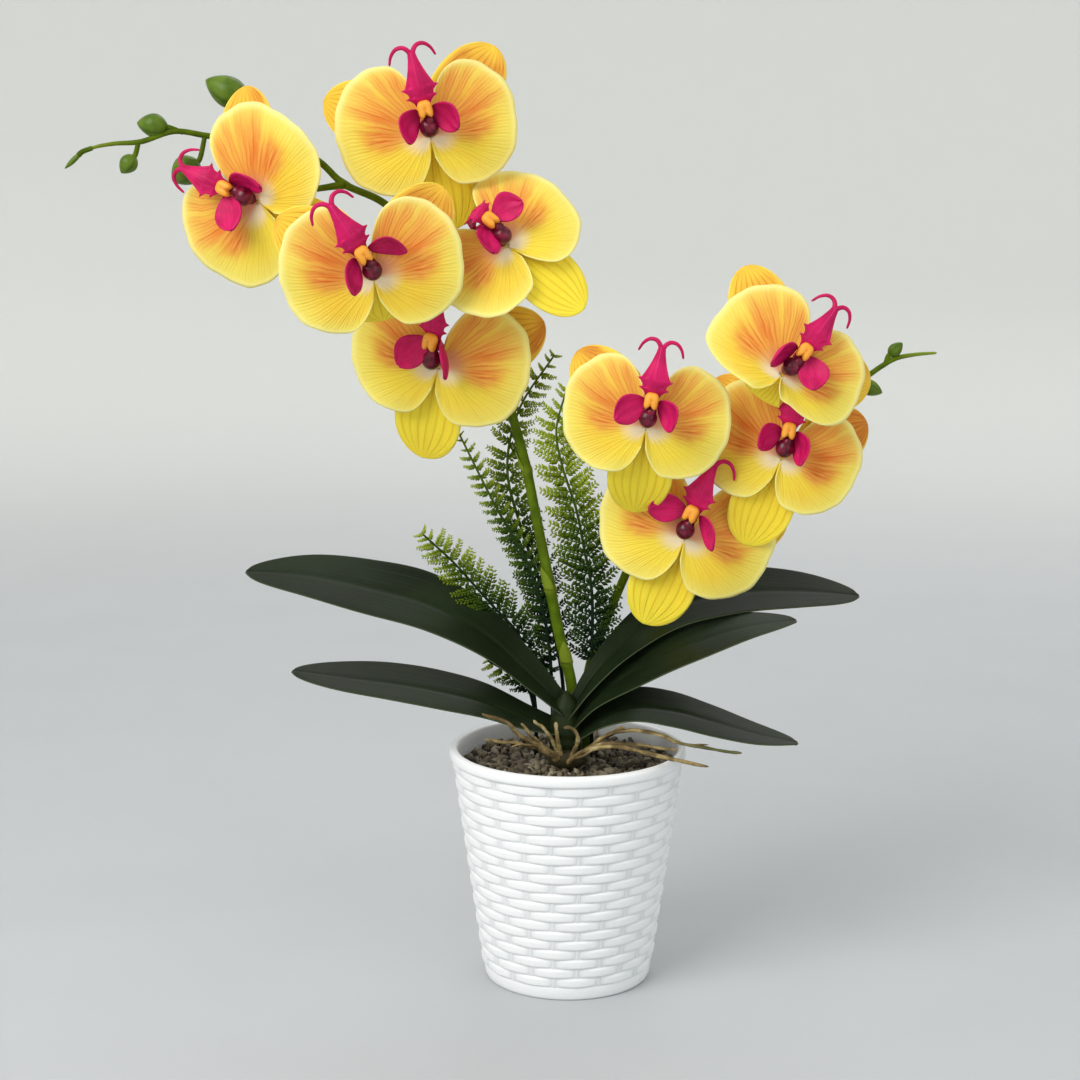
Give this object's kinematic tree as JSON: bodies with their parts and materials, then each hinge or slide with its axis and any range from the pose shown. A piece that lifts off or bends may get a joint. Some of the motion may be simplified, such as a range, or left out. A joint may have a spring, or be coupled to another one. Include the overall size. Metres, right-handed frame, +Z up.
{
  "type": "potted orchid",
  "caption": "Artificial moth orchid in a white basket-weave pot: arching flower stems with flat yellow blooms, crimson upturned lips, dark strap leaves, wandering roots and fern sprays.",
  "frame": {"origin": "centre of the pot's foot, on the surface it stands on", "axes": "+Z up, +X to the right seen from the front, -Y towards the viewer, the side the blooms face"},
  "size_m": [0.4257, 0.1246, 0.4681],
  "materials": {
    "pot": "moulded white basket-weave wall, semi-gloss",
    "filler": "dull brown foam, hidden",
    "grit": "dull brown and grey gravel grains",
    "crown": "satin olive green",
    "roots": "dull ochre to beige, one end greener",
    "leaves": "very dark satin green with a paler underside",
    "stems": "satin olive green with scars; buds brighter green and smoother",
    "tepals": "soft moulded plastic with a cloth-like print: lemon yellow, amber blush and fine radiating veins",
    "lips": "soft crimson-magenta with pale pink ribs",
    "columns": "glossy dark maroon",
    "calluses": "orange-yellow",
    "ferns": "yellow-green tips to dark blue-green base"
  },
  "bodies": {
    "root": {"pot": "pot", "filler": "filler", "grit": "grit", "crown": "crown", "aerial_roots": "roots", "leaf_upper_left": "leaves", "leaf_lower_left": "leaves", "leaf_upper_right": "leaves", "leaf_mid_right": "leaves", "leaf_low_right": "leaves", "flower_stem_a": "stems", "flower_stem_b": "stems", "bloom_a1_tepals": "tepals", "bloom_a1_lip": "lips", "bloom_a1_column": "columns", "bloom_a1_callus": "calluses", "bloom_a2_tepals": "tepals", "bloom_a2_lip": "lips", "bloom_a2_column": "columns", "bloom_a2_callus": "calluses", "bloom_a3_tepals": "tepals", "bloom_a3_lip": "lips", "bloom_a3_column": "columns", "bloom_a3_callus": "calluses", "bloom_a4_tepals": "tepals", "bloom_a4_lip": "lips", "bloom_a4_column": "columns", "bloom_a4_callus": "calluses", "bloom_a5_tepals": "tepals", "bloom_a5_lip": "lips", "bloom_a5_column": "columns", "bloom_a5_callus": "calluses", "bloom_b1_tepals": "tepals", "bloom_b1_lip": "lips", "bloom_b1_column": "columns", "bloom_b1_callus": "calluses", "bloom_b2_tepals": "tepals", "bloom_b2_lip": "lips", "bloom_b2_column": "columns", "bloom_b2_callus": "calluses", "bloom_b3_tepals": "tepals", "bloom_b3_lip": "lips", "bloom_b3_column": "columns", "bloom_b3_callus": "calluses", "bloom_b4_tepals": "tepals", "bloom_b4_lip": "lips", "bloom_b4_column": "columns", "bloom_b4_callus": "calluses", "fern_left_tall": "ferns", "fern_back_tall": "ferns", "fern_middle": "ferns", "fern_left_low": "ferns"}
  },
  "joints": []
}
